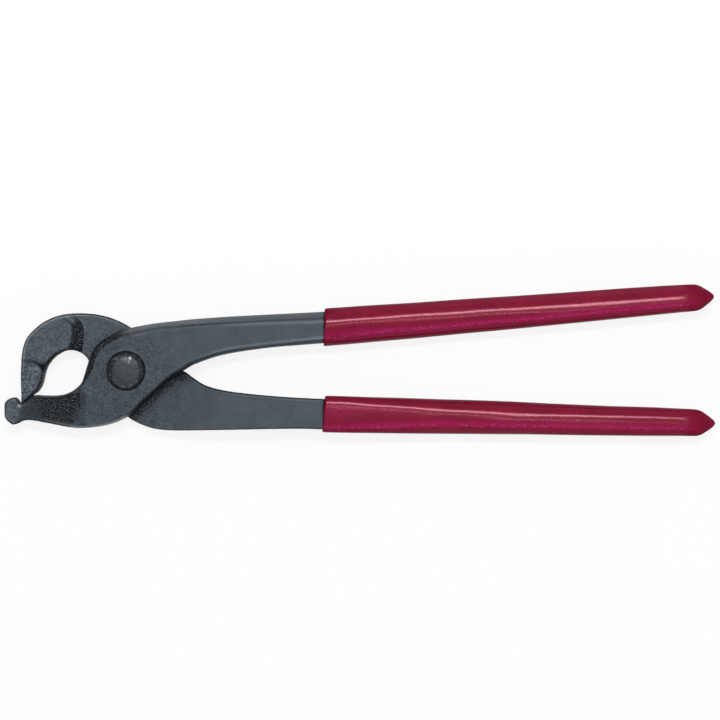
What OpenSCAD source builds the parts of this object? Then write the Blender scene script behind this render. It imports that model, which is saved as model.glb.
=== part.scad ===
// Fencing pliers with a hooked beak: two forged levers lapped over one rivet, with dipped grips.
// The tool lies flat with its rear face at z = 0 and the rivet's axis at x = y = 0.
// The handles run towards +X, the beak is on the +Y side, and +Z is the front with the rivet's dome.

/* [Tool] */
// Length over everything with the handles closed
tool_length = 280; // [240:5:300]
// Thickness of both levers together at the rivet
joint_thickness = 13; // [11:0.5:15]
// Thickness of the jaws
jaw_thickness = 9; // [7:0.5:10]
// Thickness of the beak at its tip
tip_thickness = 6; // [4:0.5:7]
// Thickness of the heel knob on the lower jaw
knob_thickness = 10; // [8:0.5:11]
// Thickness of the steel where it enters the grips
shank_thickness = 11; // [9:0.5:12]

/* [Joint] */
// Gap between the two lapped faces
lap_gap = 0.1; // [0.06:0.02:0.3]
// Diameter of the rivet's shaft
rivet_diameter = 9; // [7:0.5:11]
// Clearance all round the rivet in the front lever
rivet_clearance = 0.05; // [0.03:0.01:0.1]
// Diameter of the rivet's domed head
head_diameter = 15.2; // [13:0.2:18]
// Height of the rivet's domed head
head_height = 3.4; // [2.4:0.2:4]
// Depth of the spot-faced seat that the head sits in
seat_depth = 0.5; // [0.3:0.1:1]
// Gap all round the head in its seat
seat_gap = 0.2; // [0.1:0.05:0.4]
// Diameter of the rivet's countersunk rear end
countersink_diameter = 13; // [11.5:0.5:15]
// Distance from the rivet's axis to the foot of each handle's ramp
ramp_start = 18.7; // [18:0.1:21]
// Length over which each handle swells from the lap face to its full thickness
ramp_length = 20; // [12:1:30]
// Angle between each ramp's foot and a line square to the tool
ramp_angle = 33; // [25:1:38]

/* [Edges] */
// Width of the drafted edge left by forging round each lever's outer face
draft_width = 2; // [1:0.1:2.4]
// Depth of a drafted edge for each millimetre of its width
draft_steepness = 2; // [1.2:0.1:2.4]
// Width of the broken edge round each lever's inner face
break_width = 0.5; // [0.3:0.1:0.9]
// Height of the step where the ground tip facet meets the beak's face
facet_step = 0.9; // [0.4:0.1:1.2]

/* [Grips] */
// Width of a grip at its mouth
grip_width = 14.6; // [14.2:0.1:17]
// Width of a grip before its rounded end
grip_end_width = 10.3; // [10:0.1:13]
// Thickness of a grip at its mouth
grip_thickness = 13.2; // [13:0.1:15]
// Thickness of a grip before its rounded end
grip_end_thickness = 10.2; // [9.8:0.1:12]
// Angle between a grip's axis and the side of its pointed end
nose_angle = 31; // [26:1:40]
// Width of the dark gap between the grip's lip and the steel
lip_gap = 0.3; // [0.2:0.05:0.6]

/* [Hidden] */

size = tool_length / 280;        // the outlines below are drawn for a 280 mm tool
mid = joint_thickness / 2;
jaw_top = mid + jaw_thickness / 2;
jaw_bottom = mid - jaw_thickness / 2;
shank_top = mid + shank_thickness / 2;
shank_bottom = mid - shank_thickness / 2;
steel = [0.31, 0.34, 0.37];
crimson = [0.52, 0.12, 0.24];
steps = 4;                       // rings for each stretch between two stations
grip_sides = 32;                 // points round a grip
reach = 90 * size;               // longer than any cut needs to be
$fn = 96;

// Where the grips start, and the way each one points
upper_mouth = [77.6, 16.89] * size;
lower_mouth = [77.1, -17.17] * size;
upper_slope = 4.6;
lower_slope = -1.35;
upper_length = 154.3 * size;
lower_length = 154.8 * size;
tang_length = 145 * size;
shank_width = 12.2 * size;
recess_depth = 3 * size;
lip_radius = size;
nose_radius = size;              // of the blunt point at the very end of a grip
margin = size;                   // how far cutting solids reach past what they cut

// Stations along the front lever, knob to grip: upper edge and lower edge as seen from the front
front_upper = [[-42.7, -12], [-41.5, -13.1], [-39.3, -11.9], [-36.6, -9.9], [-32.2, -9.8], [-27.1, -9.8],
    [-23, -8.9], [-20, -7.2], [-17.8, -5], [-16.7, -2.2], [-15.7, 0.9], [-14.7, 4.1], [-13.3, 7.5],
    [-10.8, 10.8], [-7.1, 13.3], [-3.1, 15.4], [0.9, 16.6], [5.6, 17.5], [11.5, 18.4], [18.2, 19.2],
    [25.3, 19.9], [33.2, 20.6], [43, 21.3], [56.8, 22], [68.7, 22.6], [79.5, 23.1]];
front_lower = [[-42.7, -20.8], [-40.9, -19.8], [-38.9, -19.5], [-36.2, -19.7], [-31.9, -20.5],
    [-26.7, -21.5], [-22.4, -22.3], [-18.1, -22.6], [-13.3, -22.3], [-9, -21.7], [-5, -20.7],
    [-1.9, -19.4], [1.1, -17.7], [4.4, -14.4], [8, -11], [11.5, -7.8], [15.1, -4.6], [18.8, -1.7],
    [22.9, 0.3], [26.1, 2.2], [30.4, 3.9], [36.3, 5.8], [44.2, 7.4], [56.8, 9.1], [68.7, 10.1],
    [79.5, 10.9]];

// Stations along the back lever, beak tip to grip: outer edge and inner edge
back_outer = [[-41.4, -12.6], [-41.4, -10], [-41.5, -7], [-41.6, -4.1], [-41.6, -1.2], [-41.5, 1.8],
    [-41.3, 4.9], [-40.8, 8.4], [-39.7, 11.9], [-38, 14.4], [-35.4, 17], [-31.9, 19.5], [-27.5, 21.4],
    [-22.8, 22.4], [-17.7, 22.6], [-12.5, 22.2], [-7.4, 21.1], [-3.1, 19.4], [0.9, 17.3], [4.8, 14.2],
    [8.8, 10.6], [12.7, 6.9], [16.6, 3.3], [20.2, 0.9], [23.3, -0.8], [26.5, -3.2], [30.4, -5.6],
    [35.2, -7.2], [43, -8.6], [56.8, -10], [68.7, -10.8], [79.5, -11.3]];
back_inner = [[-41, -12.4], [-38.7, -11.1], [-36.5, -9.4], [-34.5, -7.8], [-32.8, -4.9], [-31.9, -1.6],
    [-30.8, 1.3], [-29.6, 3.5], [-28.3, 5.3], [-26.5, 6.6], [-24.6, 7.6], [-22.4, 8], [-20.4, 7.9],
    [-18.4, 7.2], [-16.5, 5.8], [-15.1, 3.7], [-15.2, 0], [-14.3, -5.2], [-11.7, -9.8], [-7.6, -13.2],
    [-3.1, -15.7], [0.3, -18.3], [3.2, -20.1], [6.8, -21.7], [10.7, -22.9], [15.8, -23.5],
    [22.2, -23.6], [29.2, -23.5], [41.1, -23.3], [56.8, -23], [68.7, -22.9], [79.5, -23.2]];

// Outline of the heel knob
knob_outline = [[-45.5, -10.8], [-43.9, -10.6], [-42.9, -11.3], [-41.5, -13.1], [-40.6, -16.5],
    [-40.9, -19.8], [-43.1, -20.9], [-44.8, -21.2], [-46.9, -19.6], [-47.8, -18], [-47.9, -13.4],
    [-47.3, -12]];

// Heights and edge widths at stations of the front lever, as [station, value]
front_top = [[0, jaw_top], [5.5, jaw_top], [7.5, joint_thickness], [18, joint_thickness],
    [25, shank_top]];
front_bottom = [[0, jaw_bottom], [17, jaw_bottom], [25, shank_bottom]];
front_upper_edge = [[0, 0.5 * size], [6, 0.8 * size], [8, 1.1 * size], [10, draft_width],
    [25, draft_width]];
front_lower_edge = [[0, 0.7 * size], [9, 0.9 * size], [13, 0.7 * size], [17, 0.8 * size],
    [20, draft_width], [25, draft_width]];
front_rear_edge = [[0, break_width], [21, break_width], [25, 1.2 * size]];

// The same for the back lever, whose drafted edge is on the rear
back_top = [[0, mid + tip_thickness / 2], [5.75, jaw_top - facet_step], [6, jaw_top], [20, jaw_top],
    [25, shank_top]];
back_bottom = [[0, mid - tip_thickness / 2], [6, jaw_bottom], [11, jaw_bottom], [14, 0], [24, 0],
    [31, shank_bottom]];
back_outer_edge = [[0, 0.3 * size], [7, size], [12, 1.2 * size], [15, break_width],
    [27, break_width], [31, 0.8 * size]];
back_inner_edge = [[0, 0.4 * size], [2, size], [8, 0.8 * size], [14, break_width],
    [27, break_width], [31, 0.8 * size]];
back_rear_edge = [[0, 0.3 * size], [8, size], [15, draft_width], [31, draft_width]];

// A smooth curve through the points p; t counts stations from 0
function curve(p, t) =
    let (last = len(p) - 1, i = min(floor(t), last - 1), u = t - i,
        a = p[max(i - 1, 0)], b = p[i], c = p[i + 1], d = p[min(i + 2, last)])
    b + u / 2 * ((c - a) + u * ((2 * a - 5 * b + 4 * c - d) + u * (3 * (b - c) + d - a)));

// Unit direction of travel along the curve at station t
function heading(p, t) =
    let (last = len(p) - 1, d = curve(p, min(t + 0.05, last)) - curve(p, max(t - 0.05, 0)))
    d / norm(d);

// A corner of a section: from the face, over a rounded edge, down to the widest line
function edge_profile(width, depth) =
    [for (a = [15, 40, 65, 90]) [width * (1 - (sin(a) - sin(15)) / (1 - sin(15))),
        depth * (cos(15) - cos(a)) / cos(15)]];

// The same points in reverse order
function backwards(list) = [for (i = [len(list) - 1 : -1 : 0]) list[i]];

// One corner placed at point p, inward along v, with z measured from the face by side = 1 or -1
function corner(p, v, z, side, width, depth) =
    [for (e = edge_profile(width, depth)) [p[0] + v[0] * e[0], p[1] + v[1] * e[0], z - side * e[1]]];

// The section of a lever at station t; edges are [left top, right top, left bottom, right bottom]
function section(left, right, top, bottom, edges, t) =
    let (l = size * curve(left, t), r = size * curve(right, t),
        hl = heading(left, t), hr = heading(right, t),
        vl = [hl[1], -hl[0]], vr = [-hr[1], hr[0]],
        z1 = lookup(t, top), z0 = lookup(t, bottom),
        w = [for (e = edges) min(lookup(t, e), 0.3 * norm(l - r))],
        d = [for (e = w) min(e * draft_steepness, 0.45 * (z1 - z0))])
    concat(corner(l, vl, z1, 1, w[0], d[0]), backwards(corner(l, vl, z0, -1, w[2], d[2])),
        corner(r, vr, z0, -1, w[3], d[3]), backwards(corner(r, vr, z1, 1, w[1], d[1])));

// A closed skin over rings that all have the same number of points
module skin(rings) {
    n = len(rings[0]);
    last = (len(rings) - 1) * n;
    ends = [for (r = [rings[0], rings[len(rings) - 1]])
        [for (k = [0 : 2]) [for (p = r) p[k]] * [for (p = r) 1 / n]]];
    points = concat([for (r = rings) each r], ends);
    sides = [for (i = [0 : len(rings) - 2], j = [0 : n - 1])
        let (a = i * n + j, b = i * n + (j + 1) % n) each [[a, b, b + n], [a, b + n, a + n]]];
    caps = [for (j = [0 : n - 1]) let (k = (j + 1) % n)
        each [[last + n, k, j], [last + n + 1, last + j, last + k]]];
    polyhedron(points = points, faces = concat(sides, caps), convexity = 8);
}

// A forged lever between its two edges
module forging(left, right, top, bottom, edges) {
    count = steps * (len(left) - 1);
    skin([for (i = [0 : count]) section(left, right, top, bottom, edges, i / steps)]);
}

// Everything above the back lever's lap face, up to the foot of the beak and the handle's ramp
module lap_pocket() {
    rise = joint_thickness;
    lap = mid - lap_gap / 2;
    run = ramp_length * rise / (shank_top - lap);
    difference() {
        rotate([0, 0, -ramp_angle]) rotate([90, 0, 0])
            linear_extrude(height = 2 * reach, center = true)
                polygon([[-reach, lap], [ramp_start, lap], [ramp_start + run, lap + rise],
                    [-reach, lap + rise]]);
        beak_foot(lap, rise);
    }
}

// The jaw's full thickness ends in a coned step
module beak_foot(lap, rise) {
    lean = 0.85;
    foot = 14.9 * size;
    behind = 2.9 * size;
    translate([-31.2 * size, 13 * size, lap - margin]) {
        cylinder(r1 = foot + lean * margin, r2 = foot - lean * rise, h = rise + margin);
        translate([behind - reach, -reach, 0]) cube([reach, 2 * reach, 2 * rise]);
    }
}

// The steel tongue inside a grip, an eight-sided bar that tapers to a blunt point
module tang(mouth, slope) {
    w = 6 * size;
    d = shank_thickness / 2 - 0.2 * size;
    bevel = 2.2 * size;
    taper = 0.64;
    ring = [[w, bevel - d], [w - bevel, -d], [bevel - w, -d], [-w, bevel - d], [-w, d - bevel],
        [bevel - w, d], [w - bevel, d], [w, d - bevel]];
    translate([mouth[0], mouth[1], mid]) rotate([0, 0, slope])
        skin([for (s = [[-1.5 * size, 1], [0.96 * tang_length, taper], [tang_length, 0.6 * taper]])
            [for (p = ring) [s[0], p[0] * s[1], p[1] * s[1]]]]);
}

// One section of a grip: a rounded rectangle that turns into an oval
function grip_section(width, thickness, roundness) =
    [for (i = [0 : grip_sides - 1]) let (a = -360 * (i + 0.5) / grip_sides)
        [width / 2 * sign(cos(a)) * pow(abs(cos(a)), 2 / roundness),
            thickness / 2 * sign(sin(a)) * pow(abs(sin(a)), 2 / roundness)]];

// Half width of the pointed end at a distance before its tip: a cone with a blunt point
function nose_width(before) =
    tan(nose_angle) * sqrt(before * (before + 2 * nose_radius / pow(tan(nose_angle), 2)));

// Width of a grip at x as a share of its full width: rolled lip, straight taper, pointed end
function grip_share(x, length) =
    let (lip = min(x / lip_radius, 1), nose = 2 * nose_width(length - x) / grip_end_width)
    (0.93 + 0.07 * sqrt(1 - pow(1 - lip, 2))) * pow(1 + pow(nose, -10), -0.1);

// A dipped grip along the tang
module grip(mouth, slope, length) {
    straight = length - 7 * size;
    body = 10;
    stations = concat([for (f = [0, 0.25, 0.6]) f * lip_radius],
        [for (i = [0 : body]) lip_radius + (straight - 3 * size - lip_radius) * i / body],
        [for (before = [7.7, 6.2, 4.8, 3.4, 2, 0.9, 0.25]) length - before * size]);
    color(crimson) difference() {
        translate([mouth[0], mouth[1], mid]) rotate([0, 0, slope]) difference() {
            skin([for (x = stations)
                let (f = min(x / straight, 1), g = grip_share(x, length),
                    w = g * (grip_width + (grip_end_width - grip_width) * pow(f, 1.5)),
                    t = g * (grip_thickness + (grip_end_thickness - grip_thickness) * f),
                    roundness = 4.4 - 2 * min(1, f / 0.65))
                [for (p = grip_section(w, t, roundness)) [x, p[0], p[1]]]]);
            mouth_recess();
        }
        tang(mouth, slope);
    }
}

// The lip stands clear of the steel all round
module mouth_recess() {
    squareness = 10;
    translate([recess_depth, 0, 0]) rotate([0, -90, 0])
        linear_extrude(height = recess_depth + margin)
            polygon([for (p = grip_section(shank_width + 2 * lip_gap, shank_thickness + 2 * lip_gap,
                squareness)) [p[1], p[0]]]);
}

// The square-cut knob at the end of the lower jaw
module knob() {
    bevel = 0.9 * size;
    translate([0, 0, mid]) hull() {
        linear_extrude(height = knob_thickness - 2 * bevel, center = true)
            scale(size) polygon(knob_outline);
        linear_extrude(height = knob_thickness, center = true)
            offset(delta = -bevel) scale(size) polygon(knob_outline);
    }
}

module front_lever() {
    bore = rivet_diameter + 2 * rivet_clearance;
    color(steel) difference() {
        union() {
            forging(front_upper, front_lower, front_top, front_bottom,
                [front_upper_edge, front_lower_edge, front_rear_edge, front_rear_edge]);
            knob();
            tang(upper_mouth, upper_slope);
        }
        translate([0, 0, joint_thickness]) mirror([0, 0, 1]) mirror([0, 1, 0]) lap_pocket();
        cylinder(d = bore, h = 2 * joint_thickness);
        translate([0, 0, joint_thickness - seat_depth])
            cylinder(d = head_diameter + 2 * seat_gap, h = seat_depth + margin);
    }
}

module back_lever() {
    color(steel) difference() {
        union() {
            forging(back_outer, back_inner, back_top, back_bottom,
                [back_outer_edge, back_inner_edge, back_rear_edge, back_rear_edge]);
            tang(lower_mouth, lower_slope);
        }
        lap_pocket();
        rivet_shaft();
    }
}

// The shaft fills the back lever's hole and is hammered into its countersink
module rivet_shaft() {
    sink = (countersink_diameter - rivet_diameter) / 2;
    cylinder(d = rivet_diameter, h = joint_thickness + lap_gap);
    cylinder(d1 = countersink_diameter, d2 = rivet_diameter, h = sink);
}

module rivet() {
    r = head_diameter / 2;
    ball = (r * r + head_height * head_height) / (2 * head_height);
    color(steel) {
        rivet_shaft();
        translate([0, 0, joint_thickness - seat_depth + lap_gap]) intersection() {
            translate([0, 0, head_height - ball]) sphere(r = ball);
            cylinder(r = r, h = head_height + margin);
        }
    }
}

module upper_grip() {
    grip(upper_mouth, upper_slope, upper_length);
}

module lower_grip() {
    grip(lower_mouth, lower_slope, lower_length);
}

front_lever();
back_lever();
rivet();
upper_grip();
lower_grip();
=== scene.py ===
"""Fencing pliers with a hooked beak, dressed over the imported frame.

Lengths are in millimetres in the frame's own axes until a mesh is made: origin on the rivet's axis at
the rear face, +X along the handles, +Y to the beak's side and +Z to the front.
"""
import math

import bmesh
import bpy
import numpy as np
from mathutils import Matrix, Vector, noise


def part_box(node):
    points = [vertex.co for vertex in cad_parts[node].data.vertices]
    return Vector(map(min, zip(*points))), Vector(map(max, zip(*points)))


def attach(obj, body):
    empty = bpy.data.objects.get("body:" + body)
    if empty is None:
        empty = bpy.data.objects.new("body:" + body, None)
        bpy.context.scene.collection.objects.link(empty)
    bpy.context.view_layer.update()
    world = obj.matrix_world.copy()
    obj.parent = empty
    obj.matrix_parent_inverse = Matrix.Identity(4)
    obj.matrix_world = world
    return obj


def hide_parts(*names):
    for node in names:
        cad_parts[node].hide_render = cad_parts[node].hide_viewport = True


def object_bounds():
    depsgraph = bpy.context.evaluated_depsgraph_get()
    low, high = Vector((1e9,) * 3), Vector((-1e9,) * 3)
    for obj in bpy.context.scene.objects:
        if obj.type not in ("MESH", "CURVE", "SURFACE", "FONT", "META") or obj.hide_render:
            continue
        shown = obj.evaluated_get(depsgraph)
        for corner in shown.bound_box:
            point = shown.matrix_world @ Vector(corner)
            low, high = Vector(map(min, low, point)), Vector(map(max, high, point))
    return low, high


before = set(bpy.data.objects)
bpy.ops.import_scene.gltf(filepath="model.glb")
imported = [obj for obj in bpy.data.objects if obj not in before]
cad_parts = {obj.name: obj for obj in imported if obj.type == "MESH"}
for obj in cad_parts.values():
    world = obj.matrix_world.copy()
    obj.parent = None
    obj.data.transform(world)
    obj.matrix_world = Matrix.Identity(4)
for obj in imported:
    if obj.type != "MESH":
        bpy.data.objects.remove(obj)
cad_low, cad_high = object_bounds()

MM = 0.001
FAR = 99.0
DRAWN_LENGTH = 279.52  # the outlines are drawn for a tool this long
SIZE = (cad_high.x - cad_low.x) / MM / DRAWN_LENGTH
HEAD_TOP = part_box("rivet")[1].z / MM

# Heights, all from the joint's height in the frame
JOINT_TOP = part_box("front_lever")[1].z / MM
MID = JOINT_TOP / 2
JAW_TOP, JAW_BOTTOM = MID + 4.5, MID - 4.5
SHANK_TOP, SHANK_BOTTOM = MID + 5.5, MID - 5.5
KNOB_TOP, KNOB_BOTTOM = MID + 5, MID - 5

# Sizes of the lap and of the rivet, as in the solids
LAP_GAP = 0.1
LAP_FACE = MID - LAP_GAP / 2
SEAT_DEPTH, SEAT_RADIUS = 0.5, 7.8
BORE_RADIUS, BORE_SIDES = 4.55, 96
HEAD_RADIUS, HEAD_SIDES = 7.6, 128
SHAFT_RADIUS, COUNTERSINK_RADIUS = 4.5, 6.5

# Stations along the front lever from the knob's end to the grip: upper edge, then lower edge
FRONT_UPPER = [(-47.9, -15.5), (-47.9, -13.4), (-47.3, -12), (-45.5, -10.8), (-43.9, -10.6), (-42.8, -11.4),
               (-41.6, -12.95), (-39.45, -11.73), (-36.7, -9.75), (-32.2, -9.8), (-27.1, -9.8), (-23, -8.9),
               (-20, -7.2), (-17.8, -5), (-16.7, -2.2), (-15.7, 0.9), (-14.7, 4.1), (-13.3, 7.5),
               (-10.8, 10.8), (-7.1, 13.3), (-3.1, 15.4), (0.9, 16.6), (5.6, 17.6), (11.5, 18.6),
               (18.2, 19.35), (25.3, 20.15), (33.2, 20.75), (43, 21.4), (56.8, 22.1), (68.7, 22.7),
               (79.5, 23.25)]
FRONT_LOWER = [(-47.9, -15.5), (-47.8, -17.9), (-46.9, -19.6), (-44.8, -21.2), (-43.1, -20.9), (-42, -20.3),
               (-40.9, -19.8), (-38.9, -19.5), (-36.2, -19.7), (-31.9, -20.5), (-26.7, -21.5), (-22.4, -22.3),
               (-18.1, -22.6), (-13.3, -22.3), (-9, -21.7), (-5, -20.7), (-1.9, -19.4), (1.1, -17.7),
               (4.4, -14.4), (8, -11), (11.5, -7.8), (15.1, -4.6), (18.8, -1.7), (22.9, 0.3),
               (26.1, 2.2), (30.4, 3.9), (36.3, 5.8), (44.2, 7.4), (56.8, 9.1), (68.7, 10.1), (79.5, 10.9)]

# Stations along the back lever from the beak's tip to the grip: outer edge, then inner edge
BACK_OUTER = [(-41.5, -12.9), (-41.4, -10), (-41.5, -7), (-41.6, -4.1), (-41.6, -1.2), (-41.5, 1.8),
              (-41.3, 4.9), (-40.8, 8.4), (-39.7, 11.9), (-38, 14.4), (-35.4, 17), (-31.9, 19.5),
              (-27.5, 21.4), (-22.8, 22.4), (-17.7, 22.6), (-12.5, 22.2), (-7.4, 21.1), (-3.1, 19.4),
              (0.9, 17.3), (4.8, 14.2), (8.8, 10.6), (12.7, 6.9), (16.6, 3.3), (20.2, 0.9), (23.3, -0.8),
              (26.5, -3.2), (30.4, -5.6), (35.2, -7.2), (43, -8.6), (56.8, -10), (68.7, -10.8),
              (79.5, -11.3)]
BACK_INNER = [(-41.5, -12.9), (-38.7, -11.1), (-36.5, -9.4), (-34.5, -7.8), (-32.9, -4.8), (-32.2, -1.5),
              (-31.2, 1.5), (-29.8, 3.6), (-28.3, 5.3), (-26.5, 6.6), (-24.6, 7.6), (-22.4, 8),
              (-20.4, 7.9), (-18.4, 7.2), (-16.5, 5.8), (-15.1, 3.7), (-15.2, 0), (-14.3, -5.2),
              (-11.7, -9.8), (-7.6, -13.2), (-3.1, -15.7), (0.3, -18.3), (3.2, -20.1), (6.8, -21.7),
              (10.7, -22.9), (15.8, -23.5), (22.2, -23.6), (29.2, -23.5), (41.1, -23.3), (56.8, -23),
              (68.7, -22.9), (79.5, -23.2)]

# Sizes of the grips and of the tangs in them
TANG_LENGTH = 145
RECESS_DEPTH = 3
MOUTH_WIDTH, MOUTH_THICKNESS = 14.7, 13.2
END_WIDTH, END_THICKNESS = 10.35, 10.2
NOSE_LENGTH, NOSE_RADIUS = 7, 5.15
LIP_RADIUS = 1.1
GRIP_SIDES, GRIP_RINGS = 72, 90
NOSE_STEPS = (0.02, 0.12, 0.3, 0.6, 1, 1.5, 2, 2.6, 3.2, 3.8, 4.4, 5, 5.6, 6.2, 6.8, 7.4, 8.2, 9.2, 10.5)

# How square a grip's corners are along it, as the power of its section: 2 is an ellipse
EARLY_ROUND = [(0, 2.42), (60, 2.27), (100, 2.42)]
LATE_ROUND = [(0, 4.9), (8, 4.8), (17, 4.05), (31, 3.45), (41, 2.9), (51, 2.6), (61, 2.45), (95, 2.55),
              (115, 2.75)]

# Each grip: its mouth's place, the way it points in degrees, its length and its mouth's lean. The tables go
# by the distance from the mouth: how far the lower side is drawn in and the upper side let out, its corners,
# how its front side leans, and where across it the painted magenta glow and the flecks run.
GRIPS = {
    "upper_grip": {
        "mouth": (77.7, 16.9), "slope": 4.6, "length": 154.2, "lean": 0.11, "second_glow": 0, "seed": 21,
        "waist": [(0, 0)],
        "swell": [(0, 0.028), (20, 0.02), (35, 0), (95, 0), (120, 0.045), (135, 0.06), (144, 0.045),
                  (151, 0)],
        "front_corner": EARLY_ROUND, "rear_corner": LATE_ROUND,
        "front_lean": [(30, 0), (60, 0.024), (100, 0.11), (110, 0.118), (150, 0.143)],
        "glow": [(15, -0.42), (40, -0.5), (80, -0.44), (140, -0.36)],
        "flecks": [(0, -0.62), (25, -0.45), (45, -0.5), (110, -0.45)]},
    "lower_grip": {
        "mouth": (77.5, -17.18), "slope": -1.35, "length": 154.4, "lean": 0.05, "second_glow": 1, "seed": 22,
        "waist": [(0, 0.025), (35, 0.03), (60, 0.05), (80, 0.05), (105, 0.02), (125, 0)],
        "swell": [(45, 0), (55, 0.02), (75, 0.02), (90, 0), (112, 0), (130, 0.05), (144, 0.045), (151, 0)],
        "front_corner": LATE_ROUND, "rear_corner": EARLY_ROUND,
        "front_lean": [(51, 0), (61, 0.021), (72, 0.054), (100, 0.07)],
        "glow": [(0, -0.68), (22, -0.54), (45, -0.36), (100, -0.34), (140, -0.38)],
        "flecks": [(0, -0.74), (22, -0.64), (45, -0.44), (140, -0.42)]},
}


# ---------------- curves and heights

def unit(value):
    """The value, held between 0 and 1."""
    return np.clip(value, 0, 1)


def ease(low, high, value):
    """0 before low, 1 after high, and an S-curve between them. low may be the larger one."""
    share = unit((value - low) / (high - low))
    return share * share * (3 - 2 * share)


def table(pairs, where):
    """Values at stations, joined by straight lines."""
    return np.interp(where, [p[0] for p in pairs], [p[1] for p in pairs])


def bell(value, middle, width):
    """1 at the middle, falling off on both sides of it."""
    return np.exp(-((value - middle) / width) ** 2)


def spot(x, y, middle, spread):
    """1 at a point in plan, falling off by its own spread along x and along y."""
    return bell(x, middle[0], spread[0]) * bell(y, middle[1], spread[1])


def soft_max(a, b, radius):
    """The larger of a and b, with the corner between them rounded."""
    blend = np.maximum(radius - np.abs(a - b), 0) / radius
    return np.maximum(a, b) + blend * blend * radius / 4


def soft_min(a, b, radius):
    return -soft_max(-a, -b, radius)


def catmull(points, t):
    """A smooth curve through the points; t counts stations from 0."""
    points = np.asarray(points, float)
    last = len(points) - 1
    i = np.minimum(np.floor(t).astype(int), last - 1)
    u = (t - i)[:, None]
    a, b, c, d = (points[np.clip(i + k, 0, last)] for k in (-1, 0, 1, 2))
    return b + u / 2 * ((c - a) + u * ((2 * a - 5 * b + 4 * c - d) + u * (3 * (b - c) + d - a)))


class Rail:
    """One edge of a lever in plan, sampled finely and faired."""
    PER_STATION = 40

    def __init__(self, points, fairing=0.15):
        self.t = np.linspace(0, len(points) - 1, self.PER_STATION * (len(points) - 1) + 1)
        raw = catmull(points, self.t) * SIZE
        reach = int(4 * fairing * self.PER_STATION) + 1
        window = np.exp(-0.5 * (np.arange(-reach, reach + 1) / (fairing * self.PER_STATION)) ** 2)
        window /= window.sum()
        ends = [2 * raw[0] - raw[reach:0:-1], raw, 2 * raw[-1] - raw[-2:-reach - 2:-1]]
        padded = np.concatenate(ends)
        self.xy = np.stack([np.convolve(padded[:, k], window, "valid") for k in (0, 1)], 1)

    def at(self, t):
        return np.stack([np.interp(t, self.t, self.xy[:, k]) for k in (0, 1)], 1)

    def rightward(self, t):
        """Directions at a right angle to the rail, to its right."""
        step = self.at(np.minimum(t + 0.06, self.t[-1])) - self.at(np.maximum(t - 0.06, 0))
        step /= np.linalg.norm(step, axis=1)[:, None]
        return np.stack([step[:, 1], -step[:, 0]], 1)


def edge_distance(x, y, rail, first=0, last=5):
    """Distance in plan to a stretch of a rail."""
    line = rail.at(np.linspace(first, last, 120)) / SIZE
    flat = np.stack([x.reshape(-1), y.reshape(-1)], 1)
    nearest = np.full(len(flat), FAR)
    for point in line:
        nearest = np.minimum(nearest, np.hypot(*(flat - point).T))
    return nearest.reshape(x.shape)


def step_edges(y):
    """Foot and head, in x, of the coned step between the beak's face and the lap face."""
    foot = table([(7.5, -17.9), (9, -17.55), (11, -17.3), (13.6, -17.2), (16.5, -17.2), (18, -17.5),
                  (19.5, -18.3), (20.6, -19.3), (22, -21.5)], y)
    head = table([(7.5, -23.6), (9, -22.9), (11, -22.1), (13.8, -21.5), (16, -21.1), (18, -20.7),
                  (19.5, -20.4), (20.6, -20.9), (21.5, -22.2), (22.2, -24)], y)
    return foot, head


def lap_cap(x, y):
    """Height of what stands over the back lever's lap face: 0 on the face, rising at its two ends."""
    ramp_start, ramp_angle, ramp_length = 18.7, math.radians(33), 20
    along = x * math.cos(ramp_angle) - y * math.sin(ramp_angle)
    ramp = (along - ramp_start) * (SHANK_TOP - MID) / ramp_length
    foot, head = step_edges(y / SIZE)
    rise = (JAW_TOP - MID) * (foot - x / SIZE) / (foot - head)
    rise = np.where(y > 3 * SIZE, rise, 4 * (-28.3 * SIZE - x))
    return soft_max(soft_max(ramp, rise, 0.6), np.zeros_like(x), 0.5)


def lumps(points, width, seed):
    """Smooth random values from about -1 to 1, in lumps of that width."""
    shift = Vector((17.3, 9.1, 5.7)) * seed
    values = [noise.noise(Vector(p) / width + shift) for p in points.reshape(-1, 3)]
    return np.array(values).reshape(points.shape[:-1])


# ---------------- meshes

def in_scene(name, data):
    """A new object in the scene."""
    piece = bpy.data.objects.new(name, data)
    bpy.context.scene.collection.objects.link(piece)
    return piece


def finish_mesh(name, points, faces, masks, sharp_degrees=40):
    """A piece from points in millimetres, welded and smooth, with its masks as attributes."""
    mesh = bpy.data.meshes.new(name)
    mesh.from_pydata((points * MM).tolist(), [], faces)
    for key, values in masks.items():
        mesh.attributes.new(key, "FLOAT", "POINT").data.foreach_set("value", np.asarray(values, np.float32))
    bm = bmesh.new()
    bm.from_mesh(mesh)
    bmesh.ops.remove_doubles(bm, verts=bm.verts, dist=0.004 * MM)
    bmesh.ops.dissolve_degenerate(bm, edges=bm.edges, dist=0.002 * MM)
    bmesh.ops.recalc_face_normals(bm, faces=bm.faces)
    bm.to_mesh(mesh)
    bm.free()
    mesh.shade_smooth()
    mesh.set_sharp_from_angle(angle=math.radians(sharp_degrees))
    return in_scene(name, mesh)


def ring_faces(rings, count):
    """Quads between closed rings of count points each."""
    pairs = [(j, (j + 1) % count) for j in range(count)]
    starts = range(0, (rings - 1) * count, count)
    return [(i + j, i + k, i + count + k, i + count + j) for i in starts for j, k in pairs]


def close_end(points, faces, start, count):
    """A fan from a ring to its middle. Returns the points with the middle added."""
    middle = len(points)
    points = np.vstack([points, points[start:start + count].mean(0)])
    faces += [(start + j, start + (j + 1) % count, middle) for j in range(count)]
    return points


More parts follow.
